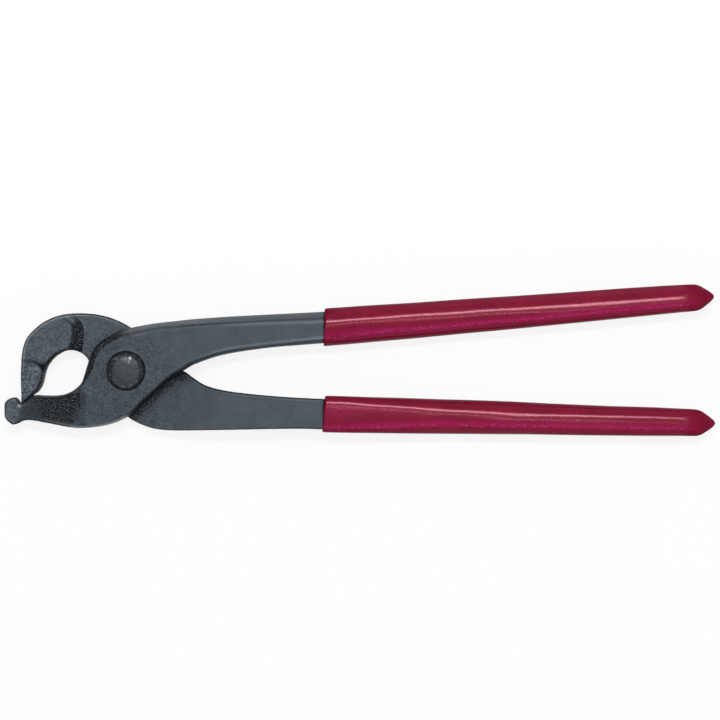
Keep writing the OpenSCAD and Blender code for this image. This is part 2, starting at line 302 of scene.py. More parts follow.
def turned(profile, sides):
    """A skin turned about the vertical axis, from (radius, height) pairs. A radius of 0 is a point on it."""
    angles = np.arange(sides) * 2 * math.pi / sides
    inner = [p for p in profile if p[0] > 0]
    rings = [np.stack([r * np.cos(angles), r * np.sin(angles), np.full(sides, z)], 1) for r, z in inner]
    points, faces = np.vstack(rings), ring_faces(len(rings), sides)
    for (r, z), start in ((profile[0], 0), (profile[-1], (len(rings) - 1) * sides)):
        if r == 0:
            points = close_end(points, faces, start, sides)
            points[-1] = 0, 0, z
    return points, faces


# What a steel vertex carries: forging scale, which also holds a painted shadow on the back lever and painted
# shade on the rivet's shoulder, painted shade lines, painted highlights and glints, then of the ground face
# its lightness with some painted shading, its grain and its slanting brush marks
STEEL_MASKS = ("scale", "painted_shade", "painted_highlight", "tone_and_shade", "grit", "brush")

# The zones round a lever's section, in the order of its points
LEFT_TOP, LEFT_WALL, LEFT_BOTTOM, UNDERSIDE, RIGHT_BOTTOM, RIGHT_WALL, RIGHT_TOP, FACE = range(8)

WALL_POINTS, FACE_POINTS = 5, 44

# Where an edge is sampled: shares of its width inward of the edge, and millimetres further on to the face
EDGE_SHARES = np.array([1, 0.93, 0.82, 0.67, 0.5, 0.33, 0.18, 0.08, 0.02, 0])
LIP_STEPS = np.array([4.4, 3.9, 3.4, 3, 2.65, 2.35, 2.05, 1.75, 1.45, 1.15, 0.85, 0.6, 0.38, 0.18])


def edge_drop(inward, width, depth, groove):
    """How far the surface lies below the face, at a distance inward of the edge."""
    share = unit(1 - inward / width)
    beyond = inward - width
    draft = depth * (0.3 * share + 0.7 * (1 - np.sqrt(1 - share * share)))
    line = groove * (bell(beyond, 0.05, 0.22) - 0.45 * bell(beyond, 0.62, 0.26))
    return draft + line


def lever(rails, top, bottom, edges, fine, tang):
    """A forged lever between two rails, with stations about every fine millimetres as far as the shank.

    top and bottom give heights from (x, y, t). edges holds the tables of width, depth and groove for the
    corners left top, right top, left bottom and right bottom. Returns points in rings, and for each point its
    station, its distance inward of its edge, that edge's width and its zone.
    """
    left, right = rails
    t = stations_for(rails, fine)
    lp, rp = left.at(t), right.at(t)
    sides = {"l": (lp, left.rightward(t)), "r": (rp, -right.rightward(t))}
    gap = np.linalg.norm(lp - rp, axis=1)

    def at_stations(flat):
        return np.broadcast_to(t[:, None], flat.shape[:2])

    def corner(key):
        """Points, reach and width of a corner, whose key is l or r, then t or b."""
        (edge, inward), spec = sides[key[0]], edges[key]
        face, sign = (top, 1) if key[1] == "t" else (bottom, -1)
        width = np.maximum(table(spec["width"], t), 0.05)
        width = np.minimum(width, np.maximum(spec.get("clamp", 9) * gap, 0.02))
        room = np.clip((0.42 * gap - width) / LIP_STEPS[0], 0.02, 1)[:, None]
        width = width[:, None]
        reach = np.concatenate([width + room * LIP_STEPS, width * EDGE_SHARES], 1)
        xy = edge[:, None] + inward[:, None] * reach[..., None]
        height = face(xy[..., 0], xy[..., 1], at_stations(xy))
        thick = np.abs(np.subtract(*(f(edge[:, :1], edge[:, 1:], t[:, None]) for f in (top, bottom))))
        depth = np.minimum(table(spec["depth"], t)[:, None], 0.46 * thick)
        groove = table(spec.get("groove", [(0, 0)]), t)[:, None]
        z = height - sign * edge_drop(reach, width, depth, groove)
        return np.dstack([xy, z]), reach, np.broadcast_to(width, reach.shape)

    def between(a, b, width, face=None):
        """A wall, or the ground face or the underside, from one corner's points to the next one's."""
        count = FACE_POINTS if face else WALL_POINTS
        shares = (np.arange(count) + 1) / (count + 1)
        flat = a[:, None] + (b - a)[:, None] * shares[:, None]
        if face:
            flat[..., 2] = face(flat[..., 0], flat[..., 1], at_stations(flat))
        shape = flat.shape[:2]
        return flat, np.full(shape, FAR if face else 0), np.broadcast_to(width, shape)

    corners = {key: corner(key) for key in edges}

    def beside(key, step=1):
        return [values[:, ::step] for values in corners[key]]

    lt, rt, lb, rb = (corners[key][0] for key in ("lt", "rt", "lb", "rb"))
    lt_width, rt_width = (corners[key][2][:, :1] for key in ("lt", "rt"))
    strips = (beside("lt"), between(lt[:, -1], lb[:, -1], lt_width), beside("lb", -1),
              between(lb[:, 0], rb[:, 0], FAR, bottom),
              beside("rb"), between(rb[:, -1], rt[:, -1], rt_width), beside("rt", -1),
              between(rt[:, 0], lt[:, 0], FAR, top))
    points, reach, widths = (np.concatenate(parts, 1) for parts in zip(*strips))
    zone = np.concatenate([np.full(strip[1].shape[1], place) for place, strip in enumerate(strips)])

    angle = math.radians(GRIPS[tang]["slope"])
    ahead = np.array([math.cos(angle), math.sin(angle), 0])
    aside = np.array([-math.sin(angle), math.cos(angle), 0])
    centre = np.array([*((lp[-1] + rp[-1]) / 2), MID])
    offset = points[-1] - centre
    away, high = offset @ aside, offset[:, 2]
    tongue = [centre + ahead * (run * SIZE) + np.outer(away * f, aside) + np.outer(high * f, [0, 0, 1])
              for run, f in ((0.15, 1), (0.35, 0.9), (0.96 * TANG_LENGTH, 0.56), (TANG_LENGTH, 0.33))]
    rings = np.concatenate([points, np.array(tongue)])

    def pad(values):
        return np.concatenate([values, np.repeat(values[-1:], len(tongue), 0)])

    spread = (np.broadcast_to(values, points.shape[:2]) for values in (t[:, None], reach, widths, zone))
    return rings, *(pad(values) for values in spread)


def stations_for(rails, fine, coarse=0.9, change=24):
    """Stations spaced by fine millimetres up to x = change, and by coarse millimetres beyond it."""
    left, right = rails
    steps = np.maximum(*(np.linalg.norm(np.diff(r.xy, axis=0), axis=1) for r in rails))
    x = (left.xy[1:, 0] + right.xy[1:, 0]) / 2
    run = np.concatenate([[0], np.cumsum(steps / np.where(x < change, fine, coarse))])
    return np.interp(np.linspace(0, run[-1], int(run[-1]) + 2), run, left.t)


def lever_piece(name, rings, masks, crust):
    """The lever's mesh, slightly uneven, and by crust, in millimetres, where it is as forged."""
    count = rings.shape[1]
    step = np.gradient(rings, axis=0)
    turn = np.roll(rings, -1, 1) - np.roll(rings, 1, 1)
    normal = np.cross(turn, step)
    size = np.linalg.norm(normal, axis=2)[..., None]
    normal = np.where(size > 1e-9, normal / np.maximum(size, 1e-9), 0)
    bumps = 0.6 * lumps(rings, 1.1, 3) + 0.5 * lumps(rings, 2.3, 7)
    moved = rings + normal * ((0.012 + crust * masks["scale"]) * bumps)[..., None]
    faces = ring_faces(len(rings), count)
    points = moved.reshape(-1, 3)
    points = close_end(points, faces, (len(rings) - 1) * count, count)
    return finish_mesh(name, points, faces, {k: np.append(v.reshape(-1), 0) for k, v in masks.items()})


def cut(piece, points, faces):
    """Cuts a turned hole out of a piece."""
    cutter = finish_mesh("cutter", points, faces, {})
    change = piece.modifiers.new("bore", "BOOLEAN")
    change.operation = "DIFFERENCE"
    change.solver = "EXACT"
    change.object = cutter
    graph = bpy.context.evaluated_depsgraph_get()
    mesh = bpy.data.meshes.new_from_object(piece.evaluated_get(graph))
    piece.modifiers.clear()
    old = piece.data
    piece.data = mesh
    bpy.data.meshes.remove(old)
    bpy.data.objects.remove(cutter)
    mesh.shade_smooth()
    mesh.set_sharp_from_angle(angle=math.radians(40))


# ---------------- the two levers

def front_top(x, y, t):
    return table([(5.4, KNOB_TOP), (6.4, JAW_TOP), (10.5, JAW_TOP), (12.5, JOINT_TOP), (23, JOINT_TOP),
                  (30, SHANK_TOP)], t)


def front_bottom(x, y, t):
    body = table([(5.4, KNOB_BOTTOM), (6.4, JAW_BOTTOM), (22, JAW_BOTTOM), (30, SHANK_BOTTOM)], t)
    face = JOINT_TOP - (LAP_FACE + lap_cap(x, -y))
    return soft_max(body, face, 0.3)


def crease_height(x):
    """Where the beak's ground tip facet begins, in plan."""
    return table([(-42, 4.2), (-39.5, 4.15), (-37, 4), (-35.2, 3.3), (-33.2, 1.9), (-31.5, 0.9),
                  (-30, 0.6)], x)


def back_top(x, y, t):
    below = ease(-0.2, 1.1, crease_height(x / SIZE) * SIZE - y) * (x < -28)
    body = table([(0, MID + 3), (5.5, JAW_TOP - 0.75)], t)
    jaw = body * below + (1 - below) * JAW_TOP
    full = np.where(t < 18, jaw, table([(18, JAW_TOP), (25, SHANK_TOP)], t))
    return soft_min(full, LAP_FACE + lap_cap(x, y), 0.8)


def back_bottom(x, y, t):
    return table([(0, MID - 3), (6, JAW_BOTTOM), (11, JAW_BOTTOM), (14, 0), (24, 0), (31, SHANK_BOTTOM)], t)


def steel_masks(shape):
    return {key: np.zeros(shape) for key in STEEL_MASKS}


def face_grit(x):
    """How coarse the ground face's grain is: coarse on the jaws, fine on the handles."""
    return table([(-20, 1.2), (-5, 1.3), (12, 1.1), (22, 0.4), (30, 0.2)], x)


def lever_fields(rings, zone, seed):
    """For the masks: x and y as drawn, where the left edge, right edge, ground front and walls are, and two
    noises, of broad patches and of small flakes.
    """
    x, y = (rings[..., k] / SIZE for k in (0, 1))
    left, right = zone == LEFT_TOP, zone == RIGHT_TOP
    front = left | right | (zone == FACE)
    walls = np.isin(zone, (LEFT_WALL, RIGHT_WALL))
    return x, y, left, right, front, walls, lumps(rings, 3, seed), lumps(rings, 1.2, seed + 3)


def front_lever_piece():
    rails = Rail(FRONT_UPPER), Rail(FRONT_LOWER)
    edges = {
        "lt": {"width": [(5, 0.9), (6, 0.6), (12, 0.8), (13.5, 1.4), (15, 2.3), (19.5, 2.3), (21, 1.75)],
               "depth": [(5, 0.8), (6, 1.2), (12, 1.6), (14, 5), (19.5, 5.5), (21.5, 2.4), (30, 2.2)],
               "groove": [(12, 0), (14, 0.04), (20, 0.04), (21, 0.08), (25, 0.08), (28, 0.03)]},
        "rt": {"width": [(5, 0.9), (6, 0.7), (14, 0.9), (18, 0.8), (22, 1), (24, 1.6), (30, 1.7)],
               "depth": [(5, 0.8), (6, 1.2), (14, 1.2), (22, 2), (25, 2.6), (30, 2.4)]},
    }
    edges["lb"] = edges["rb"] = {"width": [(0, 0.6), (26, 0.5), (30, 1)], "depth": [(0, 0.6), (30, 0.9)]}
    rings, along, reach, width, zone = lever(rails, front_top, front_bottom, edges, 0.4, "upper_grip")
    x, y, left, right, front, walls, patches, flakes = lever_fields(rings, zone, 1)
    masks = steel_masks(x.shape)
    knob = ease(-41.6, -43.2, x - 0.12 * (y + 16))
    tone_and_shade = table([(-20, 0.64), (-12, 0.58), (0, 0.6), (15, 0.625), (25, 0.63), (45, 0.67), (78, 0.69)], x)
    left_jaw = ease(-29, -34, x + 0.8 * patches) * ease(-8.5, -9.5, y) * (1 - knob)
    # Painted light: the handle's lower draft, which faces away from the lamp, is lightened
    low_draft = right * (reach < width) * ease(23.2, 24.6, along)
    masks["tone_and_shade"] = tone_and_shade * (1 + 0.33 * knob) * (1 - 0.4 * left_jaw) * (1 + 0.9 * low_draft)
    masks["grit"] = face_grit(x)

    lean = 2.6 * ease(-12.5, -19.5, y)
    jaw = ease(-15.2, -20.4, x + lean + 1.3 * patches + 0.9 * flakes) * (1 - knob)
    jaw *= ease(-6, -10.5, y + 0.9 * patches + 0.7 * flakes)
    uneven_x = x + 0.8 * patches + 0.6 * flakes
    jaw *= table([(-41, 0), (-39, 0.25), (-35, 0.5), (-31.5, 0.85), (-28, 1)], uneven_x)
    jaw *= 1 - right * table([(9.5, 0.5), (10.5, 0.75)], along) * ease(2.4, 1.4, reach)
    band = ease(1.25, 0.85, (reach + 0.4 * flakes + 0.15 * patches) / width)
    band *= (left | (zone == LEFT_WALL)) * ease(12.6, 13.6, along)
    band *= ease(21.4, 18.6, along + 0.6 * flakes)
    low_edge = 0.4 * right * ease(1.3, 0.5, (reach + 0.3 * flakes) / width)
    low_edge *= ease(16.8, 17.6, along) * ease(23.8, 22.6, along)
    left_outline = table([(1.2, 1), (2, 0.2), (4.3, 0.2), (5, 0.5), (7.6, 0.8), (8.3, 0), (11.3, 0),
                          (12.5, 0.8), (18, 0.8), (21, 0.4), (22.5, 0)], along)
    right_outline = table([(6, 1), (9, 0.7), (10.4, 0.5), (11.4, 0)], along)
    outline = (left * left_outline + right * right_outline) * ease(0.62, 0.4, reach + 0.15 * knob)
    masks["scale"] = unit(np.maximum.reduce([jaw, band, 0.6 * walls, low_edge]))

    def stroke(side, at, spread, strength):
        """A line beside one edge. Its distance, breadth and strength are numbers, or tables by station."""
        at, spread, strength = (table(v, along) if isinstance(v, list) else v for v in (at, spread, strength))
        return side * bell(reach, at, spread) * strength

    # Painted shade: dark lines in the grooves along the edges, contact shade where the lever's edge meets the
    # back lever, a dark line under the jaw's top strip, dark outlines on the rounded edges, and a contact
    # shadow on the steel just before the grip's mouth
    dashes = unit(0.9 + 0.6 * flakes + 0.3 * patches)
    valley_at = [(19, 2.2), (22, 2.1), (23.4, 1.85), (25, 2.3), (27, 2.25), (30, 2.3)]
    valley = stroke(left, valley_at, [(19, 0.38), (25, 0.42), (26.5, 0.6), (30, 0.65)],
                    [(18.8, 0), (19.6, 1), (21, 0.95), (22.5, 0.9), (25, 0.95), (26.5, 0.5), (30, 0.42)])
    valley *= np.where(along < 25.5, dashes, 1)
    low_line = stroke(right, [(24, 0.9), (26, 1), (27.5, 0.65), (28.3, 0.6), (29.4, 1.1)], 0.35,
                      [(22.6, 0), (23.6, 0.8), (26, 0.8), (27.2, 0.6), (29, 0.6), (30, 0.75)])
    low_contact = stroke(right, 0, 0.3, [(17, 0), (17.8, 1), (23.2, 1), (24.2, 0)])
    contact = left * ease(0.35, 0.05, reach / width) * ease(18.5, 19.5, along) * ease(22, 21, along)
    under_strip = stroke(left, 0.98, 0.3, [(8, 0), (8.6, 0.9), (10.6, 0.9), (11.8, 0)])
    at_grip = ease(77.3, 77.8, x)
    painted_shade = valley + low_line + low_contact + contact + under_strip + outline + at_grip
    masks["painted_shade"] = front * unit(painted_shade)

    # Painted highlights: light lines beside the edges, light strips on the drafts and bevels that face the
    # lamp, a light rim under the eye and the jaw, a light halo on the upper right of the seat, light flecks
    # on the jaw's face and a glint on the knob
    lips_at = [(22, 3.2), (23.4, 2.9), (25, 3.1), (27, 3.35), (28, 3.45), (29.2, 3.9)]
    lips = stroke(left, lips_at, [(22, 0.5), (30, 0.55)],
                  [(21, 0), (21.6, 0.13), (23, 0.07), (24.5, 0.05), (26.3, 0.06), (27.3, 0.17), (30, 0.2)])
    lips += stroke(right, [(24, 1.5), (26.5, 1.8), (28.3, 1.7), (29.4, 2.1)], [(24, 0.4), (30, 0.5)],
                   [(24, 0), (25.5, 0.2), (30, 0.25)])
    top_strip = left * table([(0, 0.08), (0.5, 0.2), (1, 0.14), (1.7, 0.05), (2.2, 0)], reach)
    top_strip *= ease(20, 22.5, along)
    top_strip += stroke(left, 0.9, 0.75, [(20, 0), (21, 0.16), (25.5, 0.14), (27, 0.04), (30, 0.03)])
    jaw_strip = 0.3 * left * ease(0.72, 0.45, reach)
    jaw_strip *= table([(8, 0), (8.6, 1), (10.8, 1), (11.8, 0)], along)
    low_rim = right * ease(1.1, 0.6, reach)
    low_rim *= table([(10.4, 0), (11.4, 0.3), (13.6, 0.42), (15, 0.55), (16.4, 0.55), (17, 0)], along)
    jaw_rim = stroke(right, 0.8, 0.3, [(5.6, 0.1), (6, 0), (7, 0), (10, 0.16), (11, 0.2), (12, 0)])
    halo = bell(np.hypot(rings[..., 0], rings[..., 1]), 8.2, 0.3)
    ring = 0.1 * (zone == FACE) * halo * ease(-0.4, 0.6, x + y)
    specks = spot(x, y, (-20.2, -7.8), (2.6, 1.7)) + 0.7 * spot(x, y, (-13, -8.6), (2.6, 2.2))
    knee = spot(x, y, (-42, -13.9), (0.5, 0.8))
    painted_highlight = lips + top_strip + jaw_strip + low_rim + jaw_rim + ring + 0.8 * knee
    painted_highlight += 0.26 * specks * unit(2.2 * flakes - 0.1)
    masks["painted_highlight"] = front * unit(painted_highlight) * (1 - unit(outline))

    piece = lever_piece("front_lever_forging", rings, masks, 0.11)
    seat = JOINT_TOP - SEAT_DEPTH
    hole = [(0, -2), (BORE_RADIUS, -2), (BORE_RADIUS, seat), (SEAT_RADIUS, seat),
            (SEAT_RADIUS, JOINT_TOP + 2), (0, JOINT_TOP + 2)]
    cut(piece, *turned(hole, BORE_SIDES))
    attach(piece, "front_half")
    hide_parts("front_lever")
    return piece


def back_lever_piece():
    rails = Rail(BACK_OUTER), Rail(BACK_INNER)
    edges = {
        "lt": {"width": [(0, 0.3), (7, 0.9), (12, 1.1), (15, 0.45), (27, 0.45), (31, 0.6)], "clamp": 0.3,
               "depth": [(0, 0.3), (6, 1.2), (12, 1.5), (15, 0.5), (27, 0.5), (31, 0.7)],
               "groove": [(5, 0), (8, 0.07), (13, 0.07), (15, 0), (25, 0), (27, 0.05)]},
        "rt": {"width": [(0, 0.3), (1.5, 0.4), (3, 0.75), (5.5, 0.7), (8, 0.8), (11, 0.6), (14, 0.45),
                         (27, 0.45), (31, 0.7)], "clamp": 0.3,
               "depth": [(0, 0.4), (2, 1), (8, 1.6), (11, 1.2), (14, 0.5), (27, 0.5), (31, 0.7)],
               "groove": [(0, 0), (1, 0.16), (6, 0.2), (8, 0.05), (12, 0)]},
    }
    edges["lb"] = edges["rb"] = {
        "width": [(0, 0.3), (8, 1), (15, 2), (31, 1.8)], "clamp": 0.3,
        "depth": [(0, 0.3), (8, 1.5), (15, 3.5), (31, 2.4)], "groove": [(14, 0), (24, 0.05), (27, 0.12)]}
    rings, along, reach, width, zone = lever(rails, back_top, back_bottom, edges, 0.36, "lower_grip")
    x, y, left, right, front, walls, patches, flakes = lever_fields(rings, zone, 2)
    masks = steel_masks(x.shape)
    cap = lap_cap(rings[..., 0], rings[..., 1])
    # on_ramp lightens the ramp up to the handle: painted light
    on_ramp = ease(0.1, 0.8, cap) * ease(SHANK_TOP - MID, SHANK_TOP - MID - 0.6, cap) * (x > 10)
    tone_and_shade = table([(-38, 0.8), (-22, 0.76), (-17, 0.7), (0, 0.68), (14, 0.67), (32, 0.67), (45, 0.72),
                  (78, 0.76)], x)

    foot, head = step_edges(y)
    lip = Rail([(-23.2, 21.1), (-22.2, 20.5), (-21.3, 19.8), (-20.5, 19), (-20, 18.2), (-19.8, 17.4)], 0.1)
    curl = Rail([(-24, 20.2), (-23.1, 19.8), (-22.2, 19.1), (-21.5, 18.3), (-21, 17.4), (-20.7, 16.4)], 0.1)
    lip_gap, curl_gap = edge_distance(x, y, lip), edge_distance(x, y, curl)
    cone = ease(-0.2, 0.4, x - head - 0.4 * ease(15.5, 18, y) + 0.4 * flakes + 0.3 * patches)
    cone *= ease(0.25, -0.25, x - foot) * (1 - 0.5 * bell(lip_gap, 0, 0.4))
    cone *= front * (y > 2) * (1 - 0.8 * ease(17, 19.6, y + 0.5 * patches))
    inner_reach = table([(7.5, 1.4), (9.5, 1), (14, 0.8)], along)
    inner = right * ease(1.1, 0.7, (reach + 0.2 * flakes) / inner_reach)
    inner *= table([(5.4, 0), (6.2, 1), (9.5, 1), (10.5, 0.6), (14, 0.5), (15, 0)], along)
    rear = 0.7 * np.isin(zone, (LEFT_BOTTOM, RIGHT_BOTTOM)) * ease(1.05, 0.8, reach / width)
    # Painted shadow of the front lever on the back lever's face, laid in with the forging scale: a dark line
    # along the front lever's edge and a speckled band that fades out past it; veil carries its soft outer
    # fade into the lightness
    past = edge_distance(x, y, Rail(FRONT_LOWER), 16.5, 25)
    corner = ease(1.1, 0.3, past + 0.25 * flakes)
    corner = np.maximum(corner, 0.66 * ease(4.2, 2.4, past + 0.9 * flakes + 0.6 * patches))
    low_front = front & (y < 3)
    corner *= low_front * table([(-2, 0.8), (6, 0.9), (12, 1)], x)
    veil = 0.2 * low_front * ease(6.4, 4.2, past)
    outline = left * ease(0.62, 0.4, reach)
    outline *= table([(2, 0.3), (4.5, 0.5), (6, 1), (17.5, 0.9), (18.2, 0), (22.5, 0), (23.5, 1), (27, 0.8),
                      (31, 0.6)], along)
    masks["scale"] = unit(np.maximum.reduce([cone, inner, 0.6 * walls, rear, corner])) + 0.5 * cone

    # Painted shade: a dark line inside the beak's outer rim, a dark groove along the hook's inner edge, a
    # painted shadow under the tip facet's crease, a dark blot in the inner corner, dark outlines, soft
    # painted shade in the scoop at the top of the step, and a contact shadow just before the grip's mouth
    beyond = reach - width
    line = bell(beyond, 0.15, 0.35)
    dashes = unit(0.75 + 0.6 * flakes + 0.4 * patches)
    rim = left * table([(6, 0), (7.2, 0.9), (9.5, 1), (11.5, 0.35), (13, 0)], along)
    hook = right * table([(0, 0.6), (1.5, 1), (5.6, 1), (6.6, 0)], along)
    groove = bell(beyond, -0.02, table([(1, 0.45), (5.5, 0.9)], along))
    depth = crease_height(x) - y
    fold = bell(depth, 0.4, 0.8) * unit(0.85 + 0.5 * flakes)
    fold *= (x < -29.5) * front * table([(-41.5, 0), (-39.5, 0.12), (-37, 0.4), (-34.5, 0.95)], x)
    corner_blot = spot(x, y, (-32.6, 1.6), (1.3, 2.2)) * (0.7 + 0.5 * flakes)
    scoop = bell(curl_gap, 0, 0.75) * (1 - bell(lip_gap, 0, 0.55))
    scoop *= table([(16.2, 0), (17, 0.95), (17.8, 0.95), (18.6, 0.7), (19.4, 0.55), (20.2, 0.5)], y)
    painted_shade = line * dashes * rim + groove * hook + fold + unit(corner_blot) + outline + scoop * front
    painted_shade += ease(77, 77.5, x)
    masks["painted_shade"] = front * unit(painted_shade)
    # Painted highlights: a light line along the beak's outer edge and on the hook's bevel, a painted sheen on
    # the step's lip and foot, and light glints on the tip facet
    bevel = reach < 0.85 * width
    outer_line = left * bell(reach, 0.86, 0.3)
    outer_line *= table([(4.5, 0), (6.5, 0.9), (12, 0.7), (13.5, 0.35), (17.5, 0.25), (18, 0)], along)
    facet = ease(0.3, 1.8, depth) * (x < -30) * front
    sheen = bell(lip_gap, 0, 0.4) * table([(17, 0), (18.2, 0.8), (19.5, 1.3)], y)
    sheen += bell(x - foot, 0.6, 0.35) * ease(17, 19, y) * ease(21.5, 20.5, y)
    glints = facet * unit(flakes - 0.25) * ease(-39, -35, x)
    painted_highlight = 0.66 * outer_line + 0.12 * bevel * hook + 0.1 * sheen + 0.24 * glints
    masks["painted_highlight"] = front * unit(painted_highlight)
    masks["tone_and_shade"] = tone_and_shade * (1 + 0.2 * on_ramp) * (1 + 0.24 * facet) * (1 - veil)
    masks["grit"] = face_grit(x) + facet
    near_eye = bell(np.hypot(x + 31.5, y - 5.5), 1, 4.5)
    near_step = spot(x, y, (-23.5, 13), (2.2, 4))
    masks["brush"] = front * unit(0.8 * near_eye + 0.7 * near_step + 0.8 * facet)

    piece = lever_piece("back_lever_forging", rings, masks, 0.1)
    sink = COUNTERSINK_RADIUS - SHAFT_RADIUS
    wide, narrow = COUNTERSINK_RADIUS + 0.02, SHAFT_RADIUS + 0.02
    hole = [(0, -2), (wide, -2), (wide, 0), (narrow, sink), (narrow, JOINT_TOP), (0, JOINT_TOP)]
    cut(piece, *turned(hole, BORE_SIDES))
    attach(piece, "back_half")
    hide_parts("back_lever")
    return piece


# ---------------- rivet

def rivet_piece():
    seat = JOINT_TOP - SEAT_DEPTH + LAP_GAP
    crown = HEAD_TOP - seat
    power = 2 / 3.5
    rim = [(math.sin(a) ** power, math.cos(a) ** power) for a in np.linspace(0, math.pi / 2, 22)[1:]]
    head = [(0, seat + crown)] + [(HEAD_RADIUS * s, seat + 0.35 + (crown - 0.35) * c) for s, c in rim]
    head += [(HEAD_RADIUS - 0.12, seat + 0.1), (HEAD_RADIUS - 0.4, seat), (SHAFT_RADIUS + 0.3, seat),
             (SHAFT_RADIUS, seat - 0.2)]
    sink = COUNTERSINK_RADIUS - SHAFT_RADIUS
    tail = [(SHAFT_RADIUS, sink), (COUNTERSINK_RADIUS - 0.2, 0.2), (COUNTERSINK_RADIUS - 0.35, 0.03),
            (5.2, 0), (3.6, 0), (1.8, 0), (0, 0)]
    points, faces = turned(head + tail, HEAD_SIDES)
    x, y, z = points.T
    radius = np.hypot(x, y)
    above = ease(seat, seat + 1.2, z)
    dents = 0.08 * lumps(points, 2.4, 11) + 0.1 * ease(3, 5.5, radius) * lumps(points, 1.2, 12)
    z += above * (dents - 0.12)
    # The dark ring on the head's shoulder is forging scale with painted shade: laid wider at the sides than
    # at the top and bottom, with painted shade lines on the shoulder and round the head's rim
    uneven = 0.5 * lumps(points, 1.2, 13) + 0.35 - table([(-7, 1.7), (0, 0), (7, 0.6)], y)
    masks = steel_masks(len(points))
    masks["scale"] = 1.2 * ease(5.2, 5.9, radius + uneven) * above
    pits = unit(0.95 - 2 * lumps(points, 0.7, 14))
    masks["painted_shade"] = 0.75 * ease(5.4, 6.2, radius + uneven) + 0.4 * ease(6.7, 7.3, radius)
    masks["painted_shade"] *= pits * above
    # Painted shade on the dome's left side
    masks["tone_and_shade"] = 0.495 * (1 - 0.13 * ease(-2.5, -5, x))
    masks["grit"] = 0.6 + masks["scale"]
    # Painted glints on the dome, and painted light specks in the dark ring
    for at, size, strength in (((1.7, 4.9), 0.5, 1.6), ((1.3, 3.4), 0.5, 0.7), ((-0.4, 4.6), 1, 0.24),
                               ((-3.4, 4.7), 0.5, 0.25), ((-0.9, -6.2), 0.4, 0.3), ((-4.4, -3.6), 0.4, 0.2)):
        masks["painted_highlight"] = np.maximum(masks["painted_highlight"], strength * spot(x, y, at, (size, size)) * above)
    ring = ease(5.2, 5.8, radius) * ease(7.4, 7, radius) * above
    masks["painted_highlight"] = np.maximum(masks["painted_highlight"], 0.3 * ring * unit(3 * lumps(points, 0.7, 15) - 0.9))
    piece = finish_mesh("rivet_domed", points, faces, masks)
    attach(piece, "back_half")
    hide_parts("rivet")
    return piece


# ---------------- grips

def nose_share(before_tip):
    """Half width of the pointed end, as a share of the straight part's, at a distance before the tip."""
    slope, tip = math.tan(math.radians(31)), 1
    cone = slope * math.sqrt(before_tip ** 2 + 2 * before_tip * tip / slope ** 2)
    return soft_min(cone, NOSE_RADIUS, 1.1) / NOSE_RADIUS


